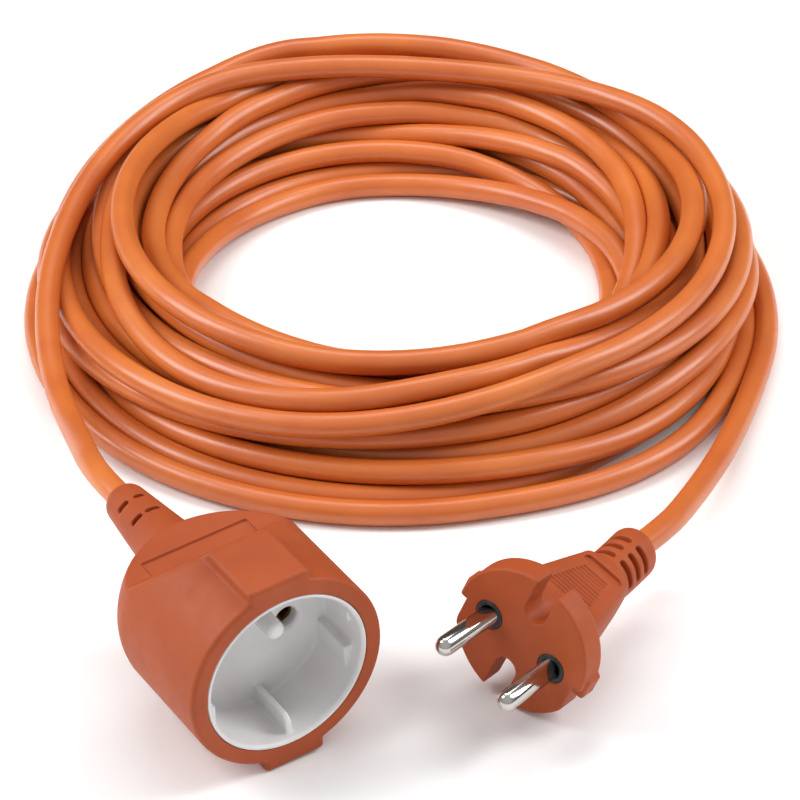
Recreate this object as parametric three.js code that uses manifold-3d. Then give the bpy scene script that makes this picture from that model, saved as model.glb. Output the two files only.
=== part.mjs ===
// A two-core orange extension cord, in millimetres with +Z up.
// At one end is a round moulded coupler with a white socket insert, at the other a moulded
// two-pin contour plug, and between them ten metres of round cord lie in a loose coil.
// The origin is on the floor under the middle of the coupler, and the socket looks along -Y.
// The coupler rests on one edge of its lower pad, so it's rolled a little about its own axis.

import * as THREE from "three";
import { mergeVertices } from "three/addons/utils/BufferGeometryUtils.js";
import Module from "manifold-3d";

const wasm = await Module();
wasm.setup();

// ---------------------------------------------------------------- driving dimensions

const GAP = 0.3;                  // clearance between pieces that touch
const PIN_OFFSET = 9.5;           // half the 19 mm pitch of the two poles

const CORD = { diameter: 6.3, core: 2.6, strands: 1.6, coreOffset: 1.6 };

// The coupler runs along Y. Depths are counted from the mouth towards the cord.
const COUPLER = {
  place: [0, -38.5, 26.75], roll: -3.4,
  length: 77, radius: 24.6, drum: 31,
  shoulderEnd: 48.5, neckRadius: 8, neckEndRadius: 5,
  padWidth: 15.4, padHeight: 26.3, padDepth: 18,
  wedgeDepth: 33.3, shelfHeight: 12,
  labelWidth: 27.6, labelStart: 33.7, labelEnd: 39.3, labelRecess: 0.7,
};

const INSERT = {
  radius: 20.3, recessRadius: 19.5, recessDepth: 16, floor: 3.3,
  blockDepth: 30, blockWidth: 29, blockHeight: 17,
  holeRadius: 2.75, pocketRadius: 3.6,
  upperFlat: 18.2, lowerFlat: 16.8, grooveTop: 3, grooveBottom: -4, guideStart: 4,
  finStart: 2, finThickness: 1.6, finHeight: 4.9,
  pegRadius: 2.2, pegOffset: 9.6, pegStart: 3.2,
};

const CONTACT = { radius: 3.2, bore: 2.45, start: 19.6, end: 29, barrel: 1.5, barrelBore: 1.1 };

// The plug runs along its own Y, from the face that meets a socket at 0 towards the cord.
const PLUG = {
  place: [54.9, -49.05, 18.9], yaw: -70, pitch: -5.9, roll: 20.1,
  length: 50.5, discRadius: 18.2, discThickness: 6.7, flatDistance: 16.3,
  earReach: 18.9, earWidth: 5.8, earStart: 1.8,
  notchWidth: 5.8, topNotch: 7.2, bottomNotch: -6.8,
  bodyEnd: 33, bodyHalfWidth: 13.4, bodyEndHalfWidth: 6.9,
  bodyHalfHeight: 8.2, bodyEndHalfHeight: 6.7,
  bootRadius: 6.4, bootInner: 4.7,
  bendStart: 29, bend: [-1.68, -0.19],   // the cord pulls the strain relief a little sideways
};

const PIN = { radius: 2.4, length: 19, barrelOffset: 8.7, barrelEnd: 13.2 };

const BRIDGE = { halfWidth: 13.1, halfHeight: 3.9, front: 2.2, back: 8.2, collarRadius: 3.55 };

const COIL = { centre: [117, 100.9], outerRadius: 98, innerRadius: 53.5, height: 30, corner: 9 };

const CORD_INSET = 10;            // how far the sheath reaches into each strain relief

// ---------------------------------------------------------------- solids

// A closed three.js geometry as a solid: only its corners are kept, and its faces point out.
function solid(geometry) {
  const bare = geometry.clone();
  bare.deleteAttribute("normal");
  bare.deleteAttribute("uv");
  const welded = mergeVertices(bare, 1e-4);
  const points = welded.getAttribute("position");
  const index = welded.getIndex().array;
  const faces = [];
  let sixVolumes = 0;
  const [a, b, c] = [new THREE.Vector3(), new THREE.Vector3(), new THREE.Vector3()];
  for (let i = 0; i < index.length; i += 3) {
    const [i0, i1, i2] = [index[i], index[i + 1], index[i + 2]];
    if (i0 === i1 || i1 === i2 || i2 === i0) continue;
    faces.push([i0, i1, i2]);
    a.fromBufferAttribute(points, i0);
    b.fromBufferAttribute(points, i1);
    c.fromBufferAttribute(points, i2);
    sixVolumes += a.dot(b.cross(c));
  }
  const outward = sixVolumes > 0 ? faces : faces.map(([i0, i1, i2]) => [i0, i2, i1]);
  return new wasm.Manifold(new wasm.Mesh({
    numProp: 3,
    vertProperties: new Float32Array(points.array),
    triVerts: new Uint32Array(outward.flat()),
  }));
}

function join(...solids) {
  return solids.reduce((whole, next) => whole.add(next));
}

function cut(body, ...tools) {
  return tools.reduce((rest, tool) => rest.subtract(tool), body);
}

// A round piece about the Y axis from [radius, y] corners, moved to (x, z).
function turned(profile, segments, x = 0, z = 0) {
  const points = profile.map(([radius, y]) => new THREE.Vector2(radius, y));
  return solid(new THREE.LatheGeometry(points, segments).translate(x, 0, z));
}

function rod(radius, y0, y1, segments, x = 0, z = 0) {
  return turned([[0, y0], [radius, y0], [radius, y1], [0, y1]], segments, x, z);
}

function box(x0, x1, y0, y1, z0, z1) {
  const block = new THREE.BoxGeometry(x1 - x0, y1 - y0, z1 - z0);
  return solid(block.translate((x0 + x1) / 2, (y0 + y1) / 2, (z0 + z1) / 2));
}

function extruded(corners, depth) {
  const shape = new THREE.Shape(corners.map(([u, v]) => new THREE.Vector2(u, v)));
  return new THREE.ExtrudeGeometry(shape, { depth, bevelEnabled: false });
}

// An outline of [y, z] corners, extruded across the width.
function acrossX(corners, halfWidth) {
  const turn = new THREE.Matrix4().makeBasis(
    new THREE.Vector3(0, 1, 0), new THREE.Vector3(0, 0, 1), new THREE.Vector3(1, 0, 0));
  return solid(extruded(corners, 2 * halfWidth).applyMatrix4(turn).translate(-halfWidth, 0, 0));
}

// An outline of [x, y] corners, extruded over the height.
function acrossZ(corners, halfHeight) {
  return solid(extruded(corners, 2 * halfHeight).translate(0, 0, -halfHeight));
}

// The same outline on both sides of the Y axis, from [half width, y] corners.
function mirrored(corners) {
  return [...corners, ...corners.map(([x, y]) => [-x, y]).reverse()];
}

// A round rod swept along a path.
function swept(path, diameter, sides, steps) {
  const section = new THREE.Shape();
  for (let i = 0; i < sides; i += 1) {
    const angle = (2 * Math.PI * i) / sides;
    const corner = [0.5 * diameter * Math.cos(angle), 0.5 * diameter * Math.sin(angle)];
    if (i === 0) section.moveTo(...corner);
    else section.lineTo(...corner);
  }
  return solid(new THREE.ExtrudeGeometry(section, { steps, extrudePath: path, bevelEnabled: false }));
}

function smoothPath(points) {
  const corners = points.map((point) => new THREE.Vector3(...point));
  return new THREE.CatmullRomCurve3(corners, false, "centripetal");
}

// ---------------------------------------------------------------- materials and nodes

function finish(color, roughness, metalness = 0) {
  return new THREE.MeshStandardMaterial({ color, roughness, metalness });
}

const orangeMoulding = finish(0xd26238, 0.55);
const orangeSheath = finish(0xdc6a2e, 0.35);
const whitePlastic = finish(0xd9dadb, 0.45);
const blackPlastic = finish(0x1d2024, 0.5);
const nickel = finish(0xc9c6c0, 0.18, 1);
const brass = finish(0xc9a557, 0.3, 1);
const copper = finish(0xc27a52, 0.35, 1);
const brownCore = finish(0x6b4028, 0.45);
const blueCore = finish(0x2f6fb5, 0.45);

function node(name, piece, material) {
  const { vertProperties, triVerts } = piece.getMesh();
  const geometry = new THREE.BufferGeometry();
  geometry.setAttribute("position", new THREE.BufferAttribute(new Float32Array(vertProperties), 3));
  geometry.setIndex(new THREE.BufferAttribute(new Uint32Array(triVerts), 1));
  geometry.computeVertexNormals();
  const mesh = new THREE.Mesh(geometry, material);
  mesh.name = name;
  return mesh;
}

// ---------------------------------------------------------------- coupler

// Drum, rounded shoulder and tapered neck, as [radius, depth] corners.
function couplerProfile() {
  const { radius, drum, shoulderEnd, neckRadius, neckEndRadius, length } = COUPLER;
  const shoulder = [];
  const steps = 8;
  for (let i = 0; i <= steps; i += 1) {
    const angle = (0.5 * Math.PI * i) / steps;
    const bulge = 2 / 1.75;       // a little flatter than an ellipse
    shoulder.push([
      neckRadius + (radius - neckRadius) * Math.cos(angle) ** bulge,
      drum + (shoulderEnd - drum) * Math.sin(angle) ** bulge,
    ]);
  }
  return [[0, 0], [radius - 0.6, 0], [radius, 0.6], ...shoulder,
    [neckEndRadius + 0.2, length - 2.4], [neckEndRadius - 0.5, length - 0.6],
    [neckEndRadius - 1.2, length], [0, length]];
}

// Short curved slots through the skin of a round strain relief, on both sides of a rib.
function reliefSlots(depths, innerRadius, outerRadius, ribHalfWidth, width, wholeSide) {
  const slots = depths.map((depth) => turned([
    [innerRadius, depth - width / 2], [outerRadius, depth - width / 2],
    [outerRadius, depth + width / 2], [innerRadius, depth + width / 2],
    [innerRadius, depth - width / 2]], 32));
  const [first, last] = [depths[0] - width, depths[depths.length - 1] + width];
  const rib = box(-ribHalfWidth, ribHalfWidth, first, last, -outerRadius, outerRadius);
  const sides = box(-outerRadius, outerRadius, first, last, -wholeSide, wholeSide);
  return slots.map((slot) => cut(slot, rib, sides));
}

function couplerShell() {
  const { radius, length, padWidth, padDepth, wedgeDepth, shelfHeight, padHeight } = COUPLER;
  const outside = turned(couplerProfile(), 48);
  const pads = box(-padWidth / 2, padWidth / 2, 0, padDepth + 1.5, -padHeight, padHeight);
  const overTop = [[padDepth, padHeight], [wedgeDepth, shelfHeight],
    [length, shelfHeight], [length, 2 * radius], [padDepth, 2 * radius]];
  const underneath = overTop.map(([y, z]) => [y, -z]);
  const label = box(-COUPLER.labelWidth / 2, COUPLER.labelWidth / 2, COUPLER.labelStart,
    COUPLER.labelEnd, shelfHeight - COUPLER.labelRecess, shelfHeight + 1);

  const insertSeat = rod(INSERT.radius + GAP, -1, 18.8, 48);
  const blockSeat = box(-INSERT.blockWidth / 2 - GAP, INSERT.blockWidth / 2 + GAP, 18,
    32.8, -INSERT.blockHeight / 2 - GAP, INSERT.blockHeight / 2 + GAP);
  const wireRoom = acrossZ(mirrored([[12.5, 32], [12.5, 38], [3.6, 52], [3.6, 66]]), 2.4);
  const cordHole = rod(CORD.diameter / 2 + GAP, length - CORD_INSET - 1.5, length + 1, 24);
  const slots = reliefSlots([61.5, 68.5], 4.6, 9, 1.6, 1.3, 3.4);
  return cut(join(outside, pads), acrossX(overTop, 2 * radius), acrossX(underneath, 2 * radius),
    label, insertSeat, blockSeat, wireRoom, cordHole, ...slots);
}

// The cup that takes a plug: guides at both sides with a groove between them for the plug's
// ears, a fin below and a peg above.
function socketInsert() {
  const { radius, recessRadius, recessDepth, floor, blockDepth, blockWidth, blockHeight } = INSERT;
  const { upperFlat, lowerFlat, grooveTop, grooveBottom, guideStart } = INSERT;
  const { finStart, finThickness, finHeight } = INSERT;
  const cup = turned([[0, recessDepth], [recessRadius, recessDepth], [recessRadius, 0],
    [radius, 0], [radius, 18.4], [0, 18.4]], 48);
  const block = box(-blockWidth / 2, blockWidth / 2, 18, blockDepth, -blockHeight / 2, blockHeight / 2);
  const wall = rod(recessRadius + 0.2, guideStart, recessDepth + 0.1, 48);
  const upperGuides = cut(wall, box(-upperFlat, upperFlat, 0, blockDepth, -radius, radius),
    box(-radius, radius, 0, blockDepth, -radius, grooveTop));
  const lowerGuides = cut(wall, box(-lowerFlat, lowerFlat, 0, blockDepth, -radius, radius),
    box(-radius, radius, 0, blockDepth, grooveBottom, radius));
  const finFoot = -recessRadius - 0.1;
  const finTop = -recessRadius + finHeight;
  const fin = acrossX([[finStart, finFoot], [finStart, finTop - 1], [finStart + 1.4, finTop],
    [recessDepth + 0.1, finTop], [recessDepth + 0.1, finFoot]], finThickness / 2);
  const peg = turned([[0, INSERT.pegStart], [INSERT.pegRadius - 1, INSERT.pegStart + 0.3],
    [INSERT.pegRadius, INSERT.pegStart + 1.5], [INSERT.pegRadius, recessDepth + 0.1],
    [0, recessDepth + 0.1]], 20, 0, INSERT.pegOffset);
  let insert = join(cup, block, upperGuides, lowerGuides, fin, peg);
  for (const side of [-1, 1]) {
    const mouth = turned([[0, recessDepth - 0.2], [INSERT.holeRadius + 0.9, recessDepth - 0.2],
      [INSERT.holeRadius, recessDepth + 0.8], [INSERT.holeRadius, recessDepth + floor + 0.1],
      [0, recessDepth + floor + 0.1]], 24, side * PIN_OFFSET);
    const pocket = rod(INSERT.pocketRadius, recessDepth + floor, blockDepth + 1, 24, side * PIN_OFFSET);
    insert = cut(insert, mouth, pocket);
  }
  return insert;
}

// A sprung sleeve of four fingers, closed at the back, with a crimp barrel for the wire.
function contactSleeve(side) {
  const x = side * PIN_OFFSET;
  const { radius, bore, start, end, barrel, barrelBore } = CONTACT;
  const sleeve = join(rod(radius, start, end, 24, x), rod(barrel, end - 0.2, 35.2, 16, x));
  const across = box(x - 5, x + 5, start - 1, end - 2.5, -0.3, 0.3);
  const upright = box(x - 0.3, x + 0.3, start - 1, end - 2.5, -5, 5);
  return cut(sleeve, rod(bore, start - 1, end - 1.2, 24, x),
    rod(barrelBore, 31, 36, 16, x), across, upright);
}

// The plate that closes the back of the insert and keeps the contacts in.
function contactCover() {
  const halfWidth = INSERT.blockWidth / 2 - 0.3;
  const halfHeight = INSERT.blockHeight / 2 - 0.3;
  const plate = box(-halfWidth, halfWidth, INSERT.blockDepth + GAP, 32.4, -halfHeight, halfHeight);
  const holes = [-1, 1].map((side) =>
    rod(CONTACT.barrel + GAP, INSERT.blockDepth, 33, 16, side * PIN_OFFSET));
  return cut(plate, ...holes);
}

// One insulated core: an S-bend from its crimp towards the middle, then straight to the sheath.
function core(side, crimpX, start, bend, end) {
  const at = (x, y) => new THREE.Vector3(side * x, y, 0);
  const path = new THREE.CurvePath();
  path.add(new THREE.CubicBezierCurve3(at(crimpX, start), at(crimpX, start + bend / 2),
    at(CORD.coreOffset, start + bend / 2), at(CORD.coreOffset, start + bend)));
  path.add(new THREE.LineCurve3(at(CORD.coreOffset, start + bend), at(CORD.coreOffset, end)));
  return swept(path, CORD.core, 10, 16);
}

function buildCoupler() {
  const group = new THREE.Group();
  group.position.set(...COUPLER.place);
  group.rotation.y = THREE.MathUtils.degToRad(COUPLER.roll);
  const coreEnd = COUPLER.length - CORD_INSET - 0.5;
  group.add(
    node("coupler_shell", couplerShell(), orangeMoulding),
    node("socket_insert", socketInsert(), whitePlastic),
    node("contact_cover", contactCover(), whitePlastic),
    node("coupler_contact_live", contactSleeve(-1), brass),
    node("coupler_contact_neutral", contactSleeve(1), brass),
    node("coupler_wire_end_live", rod(CORD.strands / 2, 31.3, 35.1, 12, -PIN_OFFSET), copper),
    node("coupler_wire_end_neutral", rod(CORD.strands / 2, 31.3, 35.1, 12, PIN_OFFSET), copper),
    node("coupler_core_brown", core(-1, PIN_OFFSET, 35.6, 15, coreEnd), brownCore),
    node("coupler_core_blue", core(1, PIN_OFFSET, 35.6, 15, coreEnd), blueCore),
  );
  return group;
}

// ---------------------------------------------------------------- plug

// An open-ended U-shaped notch in the rim, in line with the middle of the plug.
function rimNotch(bottom) {
  const { notchWidth, discRadius, discThickness } = PLUG;
  const half = notchWidth / 2;
  const direction = Math.sign(bottom);
  const centre = bottom + direction * half;
  const far = direction * (discRadius + 2);
  return join(rod(half, -1, discThickness + 3, 20, 0, centre),
    box(-half, half, -1, discThickness + 3, Math.min(centre, far), Math.max(centre, far)));
}

function contourDisc() {
  const { discRadius, discThickness, flatDistance, earReach, earWidth, earStart } = PLUG;
  let disc = turned([[0, 0], [discRadius - 0.5, 0], [discRadius, 0.5],
    [discRadius, discThickness - 0.4], [discRadius - 0.4, discThickness], [0, discThickness]], 48);
  for (const side of [-1, 1]) {
    const [inner, outer] = [side * flatDistance, side * (discRadius + 1)];
    disc = cut(disc, box(Math.min(inner, outer), Math.max(inner, outer), -1, 9, -discRadius, 0));
    const [root, tip] = [side * (flatDistance - 1), side * earReach];
    disc = join(disc, box(Math.min(root, tip), Math.max(root, tip), earStart, discThickness,
      -earWidth / 2, earWidth / 2));
  }
  return disc;
}

// The grip behind the disc: flat above and below, narrower towards the cord, edges taken off.
function gripBody() {
  const start = PLUG.discThickness - 2;
  const plan = acrossZ(mirrored([[PLUG.bodyHalfWidth, start], [PLUG.bodyHalfWidth, PLUG.discThickness],
    [PLUG.bodyEndHalfWidth, PLUG.bodyEnd]]), 20);
  const side = acrossX(mirrored([[PLUG.bodyHalfHeight, start], [PLUG.bodyHalfHeight, PLUG.discThickness],
    [PLUG.bodyEndHalfHeight, PLUG.bodyEnd]]).map(([z, y]) => [y, z]), 20);
  const edges = turned([[0, start - 1], [14.2, start - 1], [14.2, PLUG.discThickness],
    [8.6, PLUG.bodyEnd], [0, PLUG.bodyEnd]], 48);
  return plan.intersect(side).intersect(edges);
}

// Fine grip grooves across both flat faces, and the wide groove behind them.
function gripGrooves() {
  const grooves = [];
  const [first, last, count] = [14, 26, 11];
  for (const face of [-1, 1]) {
    for (let i = 0; i < count; i += 1) {
      const share = i / (count - 1);
      const y = first + (last - first) * share;
      const halfWidth = 6.4 - 2.6 * share;
      const surface = gripSurface(y);
      const [low, high] = [surface - 0.35, surface + 1].map((z) => face * z);
      grooves.push(box(-halfWidth, halfWidth, y - 0.25, y + 0.25, Math.min(low, high), Math.max(low, high)));
    }
    const surface = gripSurface(29.3);
    const [low, high] = [surface - 0.8, surface + 1].map((z) => face * z);
    grooves.push(box(-5, 5, 28.5, 30, Math.min(low, high), Math.max(low, high)));
  }
  return grooves;
}

function gripSurface(y) {
  const share = (y - PLUG.discThickness) / (PLUG.bodyEnd - PLUG.discThickness);
  return PLUG.bodyHalfHeight + (PLUG.bodyEndHalfHeight - PLUG.bodyHalfHeight) * share;
}

function plugBody() {
  const { bodyEnd, length, bootRadius, bootInner } = PLUG;
  const boot = turned([[0, bodyEnd - 3], [bootRadius, bodyEnd - 3], [bootRadius, length - 2.5],
    [bootRadius - 0.8, length - 0.7], [bootRadius - 2.4, length], [0, length]], 32);
  const bridgeSeat = box(-BRIDGE.halfWidth - GAP, BRIDGE.halfWidth + GAP, BRIDGE.front - GAP,
    BRIDGE.back + GAP, -BRIDGE.halfHeight - GAP, BRIDGE.halfHeight + GAP);
  const collarSeats = [-1, 1].map((side) =>
    rod(BRIDGE.collarRadius + GAP, -1, BRIDGE.front, 24, side * PIN_OFFSET));
  const wireRoom = acrossZ(mirrored([[10.6, BRIDGE.back], [10.6, 14.2], [9.6, 17.5],
    [4, 26], [4, 40]]), 2.2);
  const cordHole = rod(CORD.diameter / 2 + GAP, length - CORD_INSET - 1.5, length + 1, 24);
  const slots = reliefSlots([36.2, 40, 43.8], bootInner, 9, 1.4, 1.5, 1.2);
  return bent(cut(join(contourDisc(), gripBody(), boot),
    rimNotch(PLUG.topNotch), rimNotch(PLUG.bottomNotch), ...gripGrooves(),
    bridgeSeat, ...collarSeats, wireRoom, cordHole, ...slots));
}

function bent(body) {
  const { bendStart, bend, length } = PLUG;
  return body.warp((point) => {
    const share = Math.max(0, (point[1] - bendStart) / (length - bendStart)) ** 1.5;
    point[0] += bend[0] * share;
    point[2] += bend[1] * share;
  });
}

// The black carrier that holds the pins, with a collar round each at the plug's face.
function pinBridge() {
  const bar = box(-BRIDGE.halfWidth, BRIDGE.halfWidth, BRIDGE.front, BRIDGE.back,
    -BRIDGE.halfHeight, BRIDGE.halfHeight);
  const collars = [-1, 1].map((side) =>
    rod(BRIDGE.collarRadius, 0, BRIDGE.front + 0.5, 24, side * PIN_OFFSET));
  const bores = [-1, 1].map((side) =>
    rod(PIN.radius + GAP, -1, BRIDGE.back + 1, 24, side * PIN_OFFSET));
  return cut(join(bar, ...collars), ...bores);
}

// A round pin with a domed tip, and a crimp barrel behind it, set a little inwards.
function contactPin(side) {
  const { radius, length, barrelOffset, barrelEnd } = PIN;
  const dome = [0, 0.25, 0.5, 0.75, 1].map((share) => {
    const angle = 0.5 * Math.PI * share;
    return [radius * Math.sin(angle), -length + radius - radius * Math.cos(angle)];
  });
  const shank = turned([...dome, [radius, BRIDGE.back], [0, BRIDGE.back]], 24, side * PIN_OFFSET);
  const barrel = rod(CONTACT.barrel, BRIDGE.back - 0.2, barrelEnd, 16, side * barrelOffset);
  return cut(join(shank, barrel), rod(CONTACT.barrelBore, 9, barrelEnd + 1, 16, side * barrelOffset));
}

function buildPlug() {
  const group = new THREE.Group();
  group.position.set(...PLUG.place);
  group.rotation.set(...[PLUG.pitch, PLUG.roll, PLUG.yaw].map(THREE.MathUtils.degToRad), "ZXY");
  const coreEnd = PLUG.length - CORD_INSET - 0.5;
  const wireEnd = [9.3, PIN.barrelEnd - 0.1];
  const coreStart = PIN.barrelEnd + 0.4;
  group.add(
    node("plug_body", plugBody(), orangeMoulding),
    node("plug_pin_bridge", pinBridge(), blackPlastic),
    node("plug_pin_live", contactPin(-1), nickel),
    node("plug_pin_neutral", contactPin(1), nickel),
    node("plug_wire_end_live", rod(CORD.strands / 2, ...wireEnd, 12, -PIN.barrelOffset), copper),
    node("plug_wire_end_neutral", rod(CORD.strands / 2, ...wireEnd, 12, PIN.barrelOffset), copper),
    node("plug_core_brown", core(-1, PIN.barrelOffset, coreStart, 12, coreEnd), brownCore),
    node("plug_core_blue", core(1, PIN.barrelOffset, coreStart, 12, coreEnd), blueCore),
  );
  return group;
}

// ---------------------------------------------------------------- cord

// From inside the coupler's neck, down to the left of the coil.
const COUPLER_LEAD = [
  [0, 28.5, 26.75], [0, 38.5, 26.75], [0.3, 48.2, 26.3], [2.2, 58, 24.4],
  [5.5, 68.2, 21.3], [8.7, 78.4, 18.4], [11.4, 87.5, 16.4], [14.1, 97.2, 14.8],
];

// From inside the plug's boot, down to the floor in front of the coil.
const PLUG_LEAD = [
  [92.5, -34.7, 14.9], [101.6, -30.3, 14.1], [107.6, -27.8, 13.3], [116.5, -23.6, 11.9],
  [122.8, -19.7, 10.6], [129.6, -15.2, 9.1], [136, -10.7, 7.9], [143.2, -5.6, 6.7],
  [151, 0, 5.6], [158.9, 6.8, 4.6],
];

// The coil as one ring with rounded edges.
function coilRing() {
  const { centre, outerRadius, innerRadius, height, corner } = COIL;
  const profile = new THREE.Path();
  profile.moveTo(innerRadius + corner, 0);
  profile.lineTo(outerRadius - corner, 0);
  profile.absarc(outerRadius - corner, corner, corner, -Math.PI / 2, 0);
  profile.absarc(outerRadius - corner, height - corner, corner, 0, Math.PI / 2);
  profile.absarc(innerRadius + corner, height - corner, corner, Math.PI / 2, Math.PI);
  profile.absarc(innerRadius + corner, corner, corner, Math.PI, 1.5 * Math.PI);
  const ring = new THREE.LatheGeometry(profile.getPoints(2), 40);
  return solid(ring.rotateX(Math.PI / 2).translate(centre[0], centre[1], 0));
}

function buildCord() {
  const group = new THREE.Group();
  group.add(
    node("coupler_lead", swept(smoothPath(COUPLER_LEAD), CORD.diameter, 12, 12), orangeSheath),
    node("cord_coil", coilRing(), orangeSheath),
    node("plug_lead", swept(smoothPath(PLUG_LEAD), CORD.diameter, 12, 12), orangeSheath),
  );
  return group;
}

// ---------------------------------------------------------------- the whole cord

const extensionCord = new THREE.Group();
extensionCord.add(buildCoupler(), buildPlug(), buildCord());

export default extensionCord;
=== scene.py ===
"""The looks of an orange extension cord: a loose coil of round cord, a moulded coupler and a contour plug.

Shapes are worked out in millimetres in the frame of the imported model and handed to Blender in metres.
"""

import bpy
import numpy as np
from mathutils import Matrix, Vector


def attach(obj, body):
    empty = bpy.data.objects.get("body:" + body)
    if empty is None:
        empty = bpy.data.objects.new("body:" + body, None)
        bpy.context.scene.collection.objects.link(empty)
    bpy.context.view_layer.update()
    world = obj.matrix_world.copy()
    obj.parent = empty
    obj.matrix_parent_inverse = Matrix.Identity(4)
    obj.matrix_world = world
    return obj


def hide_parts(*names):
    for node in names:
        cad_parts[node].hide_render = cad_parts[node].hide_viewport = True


MM = 0.001

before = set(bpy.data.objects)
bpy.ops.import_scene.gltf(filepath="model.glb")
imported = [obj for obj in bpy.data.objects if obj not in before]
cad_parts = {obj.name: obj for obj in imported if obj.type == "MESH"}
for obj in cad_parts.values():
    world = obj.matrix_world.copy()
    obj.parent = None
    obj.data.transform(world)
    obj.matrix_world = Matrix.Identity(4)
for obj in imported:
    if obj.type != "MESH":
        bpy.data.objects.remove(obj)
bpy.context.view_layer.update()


# ---------------------------------------------------------------- sizes, in millimetres

CORD_DIAMETER = 6.3
CORD_SIDES = 20
PIN_OFFSET = 9.5                     # half the pitch of the two poles

# The cord's route where it isn't coiled. Both lists run towards the coil.
COUPLER_LEAD = [
    (0, 28.5, 26.75), (0, 38.5, 26.75), (0.3, 48.2, 26.3), (2.2, 58, 24.4),
    (5.5, 68.2, 21.3), (8.7, 78.4, 18.4), (11.4, 87.5, 16.4), (14.1, 97.2, 14.8),
]
PLUG_LEAD = [
    (92.5, -34.7, 14.9), (101.6, -30.3, 14.1), (107.6, -27.8, 13.3), (116.5, -23.6, 11.9),
    (122.8, -19.7, 10.6), (129.6, -15.2, 9.1), (136, -10.7, 7.9), (143.2, -5.6, 6.7),
    (151, 0, 5.6), (158.9, 6.8, 4.6),
]

# The coil. Angles are in degrees, from +X towards +Y about its centre.
COIL_CENTRE = (117.0, 100.9)
COIL_START = -66.0                   # where the plug's lead joins
COIL_END = 182.0 + 20 * 360          # where the coupler's lead leaves
COIL_STEP = 3.0                      # between two points of the cord
ROUTE_STEP = 2.6                     # between two points of the finished line, in millimetres
START_RADIUS, START_HEIGHT = 103.0, 4.6
END_RADIUS, END_HEIGHT = 103.0, 14.8
COIL_INNER = 53.5
COIL_OUTER = 102.0
LEAN_TOWARDS = 50.0                  # the upper turns lie this way from the lower ones
JOINED_RADIUS = 95.7                 # of the first turn once it has come in
JOINING_SWING = 7.3                  # how much further out it starts, in millimetres
JOINED_BY = -28.0
JOINING_FADE = 40.0
LEAVING_RADIUS = 93.6                # of the last turn before it goes out
LEAVING_SWING = 9.4                  # how much further out it ends, in millimetres
LEAVING_FADE = 14.0
LOOSE_AT = 281.0                     # about here the first turn lies loose, clear of the next
LOOSE_REACH = 31.0
LOOSE_GAP = 2.6                      # millimetres

# The coil starts as a tall spring and is laid in three stages: steps, fall of each step in millimetres,
# pull towards the wished radius, share of the short bends taken out, and rounds of pushing apart.
LAP_RISE = 7.5
LATE_PART = 70.0                     # of the last turn, comes down to the coupler's lead
LAYING = [
    (416, 0.4, 0.03, 0.4, 2),
    (104, 0.12, 0.03, 0.4, 6),
    (80, 0.02, 0, 0.25, 6),
]

# Mean radius of each turn and how far it lies towards the lean, layer by layer from the floor up.
TURN_RADII = [
    94, 91, 84, 77, 70, 64,
    62, 68, 75, 82,
    86, 80, 73, 67,
    70, 77, 84,
    78, 72, 79, 84, 84,
]
TURN_LEANS = [
    3.6, 3.6, 4.5, 4.5, 5.4, 6.3,
    7.2, 8.1, 8.1, 8.1,
    9.9, 10.8, 11.7, 11.7,
    13.5, 14.4, 14.4,
    16.2, 16.2, 14.4, 8.1, 5.4,
]


# ---------------------------------------------------------------- the coil

def eased(x):
    """From 0 to 1 with a soft start and end."""
    x = np.clip(x, 0, 1)
    return x * x * (3 - 2 * x)


def along(values, lap):
    """A value given once for each turn, eased from one turn to the next."""
    values = np.asarray(values, float)
    place = np.clip(lap, 0, len(values) - 1)
    before = np.minimum(place.astype(int), len(values) - 2)
    share = eased(place - before)
    return values[before] * (1 - share) + values[before + 1] * share


def wished_radius(angle, lap, late):
    """The radius each point would take alone: round turns that wander, and a tangent at either end.

    Late runs from 0 to 1 over the last part of the coil.
    """
    random = np.random.default_rng(12)
    number = len(TURN_RADII)
    wander = random.uniform(3, 7, number)
    wander[:2] = (0, 1)
    towards = np.cumsum(random.uniform(60, 200, number) * random.choice([-1, 1], number))
    oval = random.uniform(1, 4, number)
    oval[:2] = 0
    oval_towards = random.uniform(0, 180, number)

    theta = np.radians(angle)
    lean = along(TURN_LEANS, lap) * np.cos(theta - np.radians(LEAN_TOWARDS))
    wish = along(TURN_RADII, lap) + lean
    wish += along(wander, lap) * np.cos(theta - along(np.radians(towards), lap))
    wish += along(oval, lap) * np.cos(2 * (theta - along(np.radians(oval_towards), lap)))
    # the first turn comes in from the plug's lead, and the last one goes out to the coupler's
    inward = np.clip(JOINED_BY - angle, 0, None) / (JOINED_BY - COIL_START)
    joining = JOINED_RADIUS + JOINING_SWING * inward ** 2
    early = np.clip((JOINING_FADE - angle) / JOINING_FADE, 0, 1)
    wish = np.where(early > 0, joining * early + wish * (1 - early), wish)
    to_go = COIL_END - angle
    leaving = LEAVING_RADIUS + LEAVING_SWING * np.exp(-to_go / LEAVING_FADE)
    return wish * (1 - eased(late)) + leaving * eased(late)


def nearby_mean(values):
    """The mean over a point and its neighbours on either side."""
    each_side = 4
    width = 2 * each_side + 1
    return np.convolve(np.pad(values, each_side, mode="edge"), np.ones(width) / width, mode="valid")


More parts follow.
